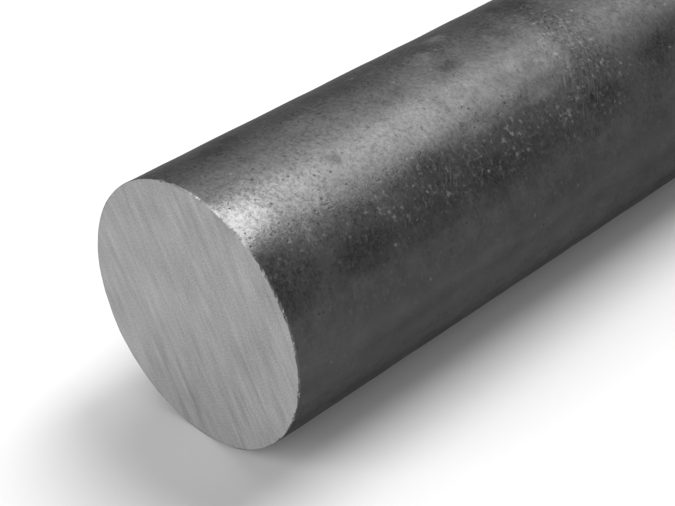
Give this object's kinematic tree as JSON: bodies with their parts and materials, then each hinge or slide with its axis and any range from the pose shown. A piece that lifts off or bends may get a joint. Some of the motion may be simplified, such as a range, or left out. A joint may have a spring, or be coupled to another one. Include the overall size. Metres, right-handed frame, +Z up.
{
  "type": "round metal bar",
  "caption": "Solid round bar of hot-rolled steel with dark mill scale, sawn square at both ends.",
  "frame": {"origin": "on the supporting surface, under the middle of the bar", "axes": "+Y along the bar from the front sawn end to the back one, +Z up, +X across the bar"},
  "size_m": [0.0799, 1, 0.08],
  "materials": {
    "hot_rolled_steel": "satin"
  },
  "bodies": {
    "root": {"round_bar": "hot_rolled_steel"}
  },
  "joints": []
}
